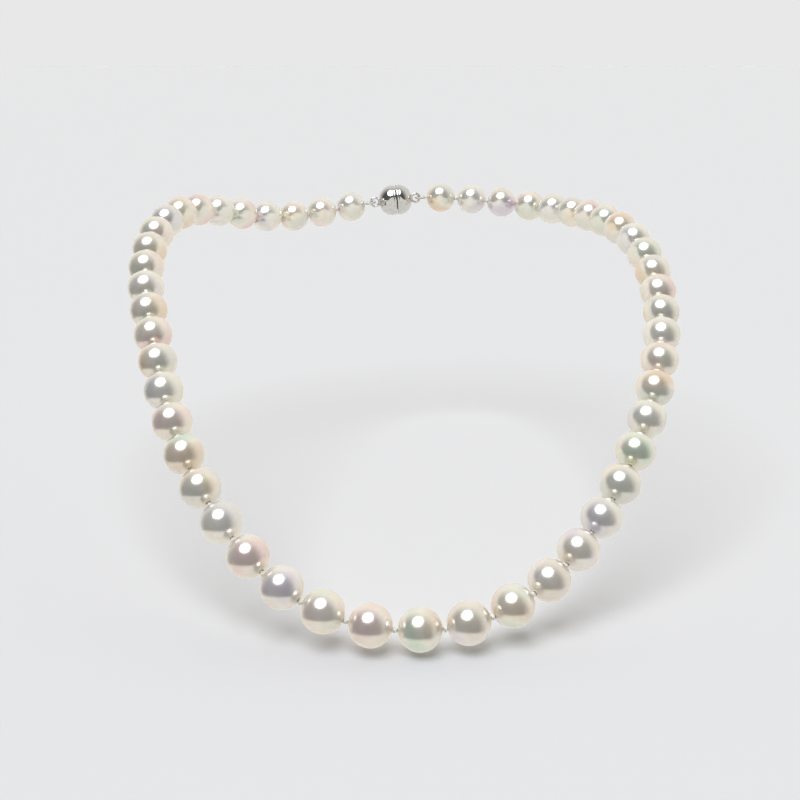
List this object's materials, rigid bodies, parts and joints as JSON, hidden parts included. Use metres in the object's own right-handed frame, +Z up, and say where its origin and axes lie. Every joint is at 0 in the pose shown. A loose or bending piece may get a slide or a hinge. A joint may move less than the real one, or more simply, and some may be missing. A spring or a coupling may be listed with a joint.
{
  "type": "pearl necklace",
  "caption": "Single strand of equal round white pearls on a knotted silk thread, closed at the nape by a magnetic ball clasp.",
  "frame": {"origin": "back of the middle pearl, where it rests on the chest", "axes": "+Y from the middle pearl to the nape, +X to the viewer's right, +Z up"},
  "size_m": [0.1196, 0.1627, 0.0651],
  "materials": {
    "nacre": "polished nacre with a strong soft lustre",
    "silk": "twisted white silk",
    "clasp_metal": "polished rhodium plate on silver",
    "gimp": "fine coiled silver wire",
    "magnet": "nickel plate on neodymium"
  },
  "bodies": {
    "pearl_26": {"pearl_26": "nacre", "silk_thread": "silk"},
    "pearl_27": {"pearl_27": "nacre"},
    "pearl_28": {"pearl_28": "nacre"},
    "pearl_29": {"pearl_29": "nacre"},
    "pearl_30": {"pearl_30": "nacre"},
    "pearl_31": {"pearl_31": "nacre"},
    "pearl_32": {"pearl_32": "nacre"},
    "pearl_33": {"pearl_33": "nacre"},
    "pearl_34": {"pearl_34": "nacre"},
    "pearl_35": {"pearl_35": "nacre"},
    "pearl_36": {"pearl_36": "nacre"},
    "pearl_37": {"pearl_37": "nacre"},
    "pearl_38": {"pearl_38": "nacre"},
    "pearl_39": {"pearl_39": "nacre"},
    "pearl_40": {"pearl_40": "nacre"},
    "pearl_41": {"pearl_41": "nacre"},
    "pearl_42": {"pearl_42": "nacre"},
    "pearl_43": {"pearl_43": "nacre"},
    "pearl_44": {"pearl_44": "nacre"},
    "pearl_45": {"pearl_45": "nacre"},
    "pearl_46": {"pearl_46": "nacre"},
    "pearl_47": {"pearl_47": "nacre"},
    "pearl_48": {"pearl_48": "nacre"},
    "pearl_49": {"pearl_49": "nacre"},
    "pearl_50": {"pearl_50": "nacre"},
    "pearl_51": {"pearl_51": "nacre", "plug_gimp_loop": "gimp"},
    "clasp_plug": {"clasp_plug": "clasp_metal", "plug_magnet": "magnet"},
    "pearl_25": {"pearl_25": "nacre"},
    "pearl_24": {"pearl_24": "nacre"},
    "pearl_23": {"pearl_23": "nacre"},
    "pearl_22": {"pearl_22": "nacre"},
    "pearl_21": {"pearl_21": "nacre"},
    "pearl_20": {"pearl_20": "nacre"},
    "pearl_19": {"pearl_19": "nacre"},
    "pearl_18": {"pearl_18": "nacre"},
    "pearl_17": {"pearl_17": "nacre"},
    "pearl_16": {"pearl_16": "nacre"},
    "pearl_15": {"pearl_15": "nacre"},
    "pearl_14": {"pearl_14": "nacre"},
    "pearl_13": {"pearl_13": "nacre"},
    "pearl_12": {"pearl_12": "nacre"},
    "pearl_11": {"pearl_11": "nacre"},
    "pearl_10": {"pearl_10": "nacre"},
    "pearl_09": {"pearl_09": "nacre"},
    "pearl_08": {"pearl_08": "nacre"},
    "pearl_07": {"pearl_07": "nacre"},
    "pearl_06": {"pearl_06": "nacre"},
    "pearl_05": {"pearl_05": "nacre"},
    "pearl_04": {"pearl_04": "nacre"},
    "pearl_03": {"pearl_03": "nacre"},
    "pearl_02": {"pearl_02": "nacre"},
    "pearl_01": {"pearl_01": "nacre", "socket_gimp_loop": "gimp"},
    "clasp_socket": {"clasp_socket": "clasp_metal", "socket_magnet": "magnet"}
  },
  "joints": [
    {"name": "strand_open", "type": "hinge", "parent": "pearl_26", "child": "pearl_27", "pos_m": [-0.00426, -0.004, -0.00003], "axis": [0.0178, -0.7184, 0.6954], "range_deg": [0, 11.9], "deforming": ["silk_thread"]},
    {"name": "knot_27", "type": "hinge", "parent": "pearl_27", "child": "pearl_28", "pos_m": [-0.01266, -0.00304, 0.00119], "axis": [0.0226, -0.6999, 0.7139], "range_deg": [0, 13.11]},
    {"name": "knot_28", "type": "hinge", "parent": "pearl_28", "child": "pearl_29", "pos_m": [-0.02047, -0.00073, 0.0037], "axis": [0.0409, -0.6687, 0.7424], "range_deg": [0, 14.52]},
    {"name": "knot_29", "type": "hinge", "parent": "pearl_29", "child": "pearl_30", "pos_m": [-0.02719, 0.00299, 0.00741], "axis": [0.102, -0.6052, 0.7895], "range_deg": [0, 11.18]},
    {"name": "knot_30", "type": "hinge", "parent": "pearl_30", "child": "pearl_31", "pos_m": [-0.03279, 0.00774, 0.01178], "axis": [0.2553, -0.4738, 0.8428], "range_deg": [0, 7.38]},
    {"name": "knot_31", "type": "hinge", "parent": "pearl_31", "child": "pearl_32", "pos_m": [-0.03756, 0.0132, 0.0163], "axis": [0.3436, -0.4017, 0.8489], "range_deg": [0, 6.02]},
    {"name": "knot_32", "type": "hinge", "parent": "pearl_32", "child": "pearl_33", "pos_m": [-0.04163, 0.01922, 0.02079], "axis": [0.3651, -0.3859, 0.8472], "range_deg": [0, 5.25]},
    {"name": "knot_33", "type": "hinge", "parent": "pearl_33", "child": "pearl_34", "pos_m": [-0.04505, 0.02569, 0.02522], "axis": [0.3947, -0.3669, 0.8424], "range_deg": [0, 4.48]},
    {"name": "knot_34", "type": "hinge", "parent": "pearl_34", "child": "pearl_35", "pos_m": [-0.04792, 0.0325, 0.02952], "axis": [0.4371, -0.3423, 0.8317], "range_deg": [0, 3.75]},
    {"name": "knot_35", "type": "hinge", "parent": "pearl_35", "child": "pearl_36", "pos_m": [-0.05031, 0.03957, 0.03369], "axis": [0.6053, -0.2422, 0.7583], "range_deg": [0, 2.78]},
    {"name": "knot_36", "type": "hinge", "parent": "pearl_36", "child": "pearl_37", "pos_m": [-0.05239, 0.04684, 0.03767], "axis": [0.97, 0.2114, 0.1203], "range_deg": [0, 2.11]},
    {"name": "knot_37", "type": "hinge", "parent": "pearl_37", "child": "pearl_38", "pos_m": [-0.05446, 0.05426, 0.04138], "axis": [0.97, 0.2182, 0.1066], "range_deg": [0, 2.17]},
    {"name": "knot_38", "type": "hinge", "parent": "pearl_38", "child": "pearl_39", "pos_m": [-0.05654, 0.06182, 0.04479], "axis": [0.4188, -0.2755, 0.8653], "range_deg": [0, 3.74]},
    {"name": "knot_39", "type": "hinge", "parent": "pearl_39", "child": "pearl_40", "pos_m": [-0.05812, 0.06957, 0.04802], "axis": [0.3878, -0.2864, 0.8761], "range_deg": [0, 4.81]},
    {"name": "knot_40", "type": "hinge", "parent": "pearl_40", "child": "pearl_41", "pos_m": [-0.05905, 0.07752, 0.05103], "axis": [0.4926, -0.2572, 0.8314], "range_deg": [0, 5.39]},
    {"name": "knot_41", "type": "hinge", "parent": "pearl_41", "child": "pearl_42", "pos_m": [-0.05929, 0.08564, 0.05368], "axis": [0.5671, -0.2408, 0.7877], "range_deg": [0, 6.39]},
    {"name": "knot_42", "type": "hinge", "parent": "pearl_42", "child": "pearl_43", "pos_m": [-0.05874, 0.0939, 0.05581], "axis": [0.6188, -0.2345, 0.7498], "range_deg": [0, 7.82]},
    {"name": "knot_43", "type": "hinge", "parent": "pearl_43", "child": "pearl_44", "pos_m": [-0.05728, 0.10219, 0.0572], "axis": [0.6541, -0.2355, 0.7189], "range_deg": [0, 9.61]},
    {"name": "knot_44", "type": "hinge", "parent": "pearl_44", "child": "pearl_45", "pos_m": [-0.0548, 0.11035, 0.05762], "axis": [0.6667, -0.2387, 0.7061], "range_deg": [0, 11.11]},
    {"name": "knot_45", "type": "hinge", "parent": "pearl_45", "child": "pearl_46", "pos_m": [-0.05123, 0.11807, 0.05686], "axis": [0.5452, -0.1713, 0.8206], "range_deg": [0, 9.35]},
    {"name": "knot_46", "type": "hinge", "parent": "pearl_46", "child": "pearl_47", "pos_m": [-0.0467, 0.12515, 0.05532], "axis": [0.1945, 0.0871, 0.977], "range_deg": [0, 7.28]},
    {"name": "knot_47", "type": "hinge", "parent": "pearl_47", "child": "pearl_48", "pos_m": [-0.04131, 0.13157, 0.05368], "axis": [-0.2281, 0.4167, 0.8799], "range_deg": [0, 7.92]},
    {"name": "knot_48", "type": "hinge", "parent": "pearl_48", "child": "pearl_49", "pos_m": [-0.0351, 0.13733, 0.05256], "axis": [-0.4244, 0.5907, 0.6862], "range_deg": [0, 10.42]},
    {"name": "knot_49", "type": "hinge", "parent": "pearl_49", "child": "pearl_50", "pos_m": [-0.02817, 0.14231, 0.05257], "axis": [-0.3741, 0.5204, 0.7676], "range_deg": [0, 9.8]},
    {"name": "knot_50", "type": "hinge", "parent": "pearl_50", "child": "pearl_51", "pos_m": [-0.02068, 0.14631, 0.05351], "axis": [-0.231, 0.2096, 0.9501], "range_deg": [0, 8.12]},
    {"name": "plug_ring_swing", "type": "hinge", "parent": "pearl_51", "child": "clasp_plug", "pos_m": [-0.01089, 0.14972, 0.05507], "axis": [-0.0269, -0.4094, 0.912], "range_deg": [0, 7.86]},
    {"name": "knot_25", "type": "hinge", "parent": "pearl_26", "child": "pearl_25", "pos_m": [0.00426, -0.00375, 0.00003], "axis": [-0.014, 0.6152, -0.7883], "range_deg": [0, 14.24]},
    {"name": "knot_24", "type": "hinge", "parent": "pearl_25", "child": "pearl_24", "pos_m": [0.01246, -0.00184, 0.00136], "axis": [0.0124, 0.5391, -0.8421], "range_deg": [0, 16.36]},
    {"name": "knot_23", "type": "hinge", "parent": "pearl_24", "child": "pearl_23", "pos_m": [0.01968, 0.00194, 0.00389], "axis": [0.0017, 0.5534, -0.8329], "range_deg": [0, 12.35]},
    {"name": "knot_22", "type": "hinge", "parent": "pearl_23", "child": "pearl_22", "pos_m": [0.02576, 0.00692, 0.00721], "axis": [-0.0383, 0.5864, -0.8091], "range_deg": [0, 8.22]},
    {"name": "knot_21", "type": "hinge", "parent": "pearl_22", "child": "pearl_21", "pos_m": [0.03093, 0.01254, 0.01104], "axis": [-0.1208, 0.6324, -0.7652], "range_deg": [0, 5.44]},
    {"name": "knot_20", "type": "hinge", "parent": "pearl_21", "child": "pearl_20", "pos_m": [0.03544, 0.01847, 0.01523], "axis": [-0.0864, 0.6177, -0.7816], "range_deg": [0, 4.36]},
    {"name": "knot_19", "type": "hinge", "parent": "pearl_20", "child": "pearl_19", "pos_m": [0.03939, 0.02463, 0.01966], "axis": [0.1171, 0.5294, -0.8403], "range_deg": [0, 4.14]},
    {"name": "knot_18", "type": "hinge", "parent": "pearl_19", "child": "pearl_18", "pos_m": [0.04279, 0.03104, 0.02417], "axis": [0.3538, 0.4057, -0.8427], "range_deg": [0, 4.12]},
    {"name": "knot_17", "type": "hinge", "parent": "pearl_18", "child": "pearl_17", "pos_m": [0.04566, 0.03776, 0.02861], "axis": [0.5733, 0.267, -0.7747], "range_deg": [0, 4.34]},
    {"name": "knot_16", "type": "hinge", "parent": "pearl_17", "child": "pearl_16", "pos_m": [0.04804, 0.04482, 0.0328], "axis": [0.727, 0.1528, -0.6694], "range_deg": [0, 4.74]},
    {"name": "knot_15", "type": "hinge", "parent": "pearl_16", "child": "pearl_15", "pos_m": [0.04996, 0.05224, 0.03659], "axis": [0.7076, 0.1666, -0.6867], "range_deg": [0, 4.51]},
    {"name": "knot_14", "type": "hinge", "parent": "pearl_15", "child": "pearl_14", "pos_m": [0.05143, 0.05995, 0.03997], "axis": [0.5341, 0.2524, -0.8069], "range_deg": [0, 3.97]},
    {"name": "knot_13", "type": "hinge", "parent": "pearl_14", "child": "pearl_13", "pos_m": [0.05241, 0.06785, 0.04309], "axis": [0.2879, 0.3206, -0.9024], "range_deg": [0, 3.73]},
    {"name": "knot_12", "type": "hinge", "parent": "pearl_13", "child": "pearl_12", "pos_m": [0.05285, 0.07584, 0.04607], "axis": [0.1666, 0.3365, -0.9268], "range_deg": [0, 3.95]},
    {"name": "knot_11", "type": "hinge", "parent": "pearl_12", "child": "pearl_11", "pos_m": [0.05272, 0.08389, 0.04897], "axis": [0.4499, 0.3092, -0.8379], "range_deg": [0, 5.05]},
    {"name": "knot_10", "type": "hinge", "parent": "pearl_11", "child": "pearl_10", "pos_m": [0.05191, 0.092, 0.05153], "axis": [0.6378, 0.2888, -0.714], "range_deg": [0, 6.81]},
    {"name": "knot_09", "type": "hinge", "parent": "pearl_10", "child": "pearl_09", "pos_m": [0.05034, 0.10018, 0.05343], "axis": [0.7314, 0.2849, -0.6196], "range_deg": [0, 6.75]},
    {"name": "knot_08", "type": "hinge", "parent": "pearl_09", "child": "pearl_08", "pos_m": [0.04811, 0.10835, 0.05457], "axis": [0.8299, 0.2917, -0.4756], "range_deg": [0, 4.86]},
    {"name": "knot_07", "type": "hinge", "parent": "pearl_08", "child": "pearl_07", "pos_m": [0.04554, 0.11649, 0.05507], "axis": [0.7596, 0.2764, -0.5887], "range_deg": [0, 3.61]},
    {"name": "knot_06", "type": "hinge", "parent": "pearl_07", "child": "pearl_06", "pos_m": [0.04266, 0.12454, 0.05513], "axis": [0.2313, 0.0906, -0.9687], "range_deg": [0, 5.31]},
    {"name": "knot_05", "type": "hinge", "parent": "pearl_06", "child": "pearl_05", "pos_m": [0.03908, 0.13229, 0.055], "axis": [-0.0213, -0.0267, -0.9994], "range_deg": [0, 9.37]},
    {"name": "knot_04", "type": "hinge", "parent": "pearl_05", "child": "pearl_04", "pos_m": [0.03428, 0.13935, 0.05491], "axis": [-0.1136, -0.0893, -0.9895], "range_deg": [0, 14.62]},
    {"name": "knot_03", "type": "hinge", "parent": "pearl_04", "child": "pearl_03", "pos_m": [0.02789, 0.14498, 0.05514], "axis": [-0.1038, -0.078, -0.9915], "range_deg": [0, 15.39]},
    {"name": "knot_02", "type": "hinge", "parent": "pearl_03", "child": "pearl_02", "pos_m": [0.02024, 0.14872, 0.05565], "axis": [-0.0451, 0.0428, -0.9981], "range_deg": [0, 11.93]},
    {"name": "knot_01", "type": "hinge", "parent": "pearl_02", "child": "pearl_01", "pos_m": [0.01197, 0.1508, 0.05611], "axis": [0.0009, 0.2207, -0.9753], "range_deg": [0, 9.71]},
    {"name": "socket_ring_swing", "type": "hinge", "parent": "pearl_01", "child": "clasp_socket", "pos_m": [0.00151, 0.15145, 0.05621], "axis": [0.0115, 0.4925, -0.8702], "range_deg": [0, 8.32]}
  ],
  "couplings": [
    {"joint": "knot_27", "follows": "strand_open", "ratio": 1.101},
    {"joint": "knot_28", "follows": "strand_open", "ratio": 1.2199},
    {"joint": "knot_29", "follows": "strand_open", "ratio": 0.93868},
    {"joint": "knot_30", "follows": "strand_open", "ratio": 0.62013},
    {"joint": "knot_31", "follows": "strand_open", "ratio": 0.50554},
    {"joint": "knot_32", "follows": "strand_open", "ratio": 0.44103},
    {"joint": "knot_33", "follows": "strand_open", "ratio": 0.37609},
    {"joint": "knot_34", "follows": "strand_open", "ratio": 0.31536},
    {"joint": "knot_35", "follows": "strand_open", "ratio": 0.23353},
    {"joint": "knot_36", "follows": "strand_open", "ratio": 0.17708},
    {"joint": "knot_37", "follows": "strand_open", "ratio": 0.18254},
    {"joint": "knot_38", "follows": "strand_open", "ratio": 0.31426},
    {"joint": "knot_39", "follows": "strand_open", "ratio": 0.40407},
    {"joint": "knot_40", "follows": "strand_open", "ratio": 0.45287},
    {"joint": "knot_41", "follows": "strand_open", "ratio": 0.53637},
    {"joint": "knot_42", "follows": "strand_open", "ratio": 0.6565},
    {"joint": "knot_43", "follows": "strand_open", "ratio": 0.80729},
    {"joint": "knot_44", "follows": "strand_open", "ratio": 0.93347},
    {"joint": "knot_45", "follows": "strand_open", "ratio": 0.7857},
    {"joint": "knot_46", "follows": "strand_open", "ratio": 0.61181},
    {"joint": "knot_47", "follows": "strand_open", "ratio": 0.66507},
    {"joint": "knot_48", "follows": "strand_open", "ratio": 0.8755},
    {"joint": "knot_49", "follows": "strand_open", "ratio": 0.82334},
    {"joint": "knot_50", "follows": "strand_open", "ratio": 0.68212},
    {"joint": "plug_ring_swing", "follows": "strand_open", "ratio": 0.66045},
    {"joint": "knot_25", "follows": "strand_open", "ratio": 1.1965},
    {"joint": "knot_24", "follows": "strand_open", "ratio": 1.3742},
    {"joint": "knot_23", "follows": "strand_open", "ratio": 1.0376},
    {"joint": "knot_22", "follows": "strand_open", "ratio": 0.69061},
    {"joint": "knot_21", "follows": "strand_open", "ratio": 0.45682},
    {"joint": "knot_20", "follows": "strand_open", "ratio": 0.36626},
    {"joint": "knot_19", "follows": "strand_open", "ratio": 0.34753},
    {"joint": "knot_18", "follows": "strand_open", "ratio": 0.34577},
    {"joint": "knot_17", "follows": "strand_open", "ratio": 0.36484},
    {"joint": "knot_16", "follows": "strand_open", "ratio": 0.39768},
    {"joint": "knot_15", "follows": "strand_open", "ratio": 0.37886},
    {"joint": "knot_14", "follows": "strand_open", "ratio": 0.33359},
    {"joint": "knot_13", "follows": "strand_open", "ratio": 0.31351},
    {"joint": "knot_12", "follows": "strand_open", "ratio": 0.33199},
    {"joint": "knot_11", "follows": "strand_open", "ratio": 0.42414},
    {"joint": "knot_10", "follows": "strand_open", "ratio": 0.57166},
    {"joint": "knot_09", "follows": "strand_open", "ratio": 0.56653},
    {"joint": "knot_08", "follows": "strand_open", "ratio": 0.4081},
    {"joint": "knot_07", "follows": "strand_open", "ratio": 0.30284},
    {"joint": "knot_06", "follows": "strand_open", "ratio": 0.44607},
    {"joint": "knot_05", "follows": "strand_open", "ratio": 0.78688},
    {"joint": "knot_04", "follows": "strand_open", "ratio": 1.2278},
    {"joint": "knot_03", "follows": "strand_open", "ratio": 1.2926},
    {"joint": "knot_02", "follows": "strand_open", "ratio": 1.0018},
    {"joint": "knot_01", "follows": "strand_open", "ratio": 0.81536},
    {"joint": "socket_ring_swing", "follows": "strand_open", "ratio": 0.69867}
  ]
}
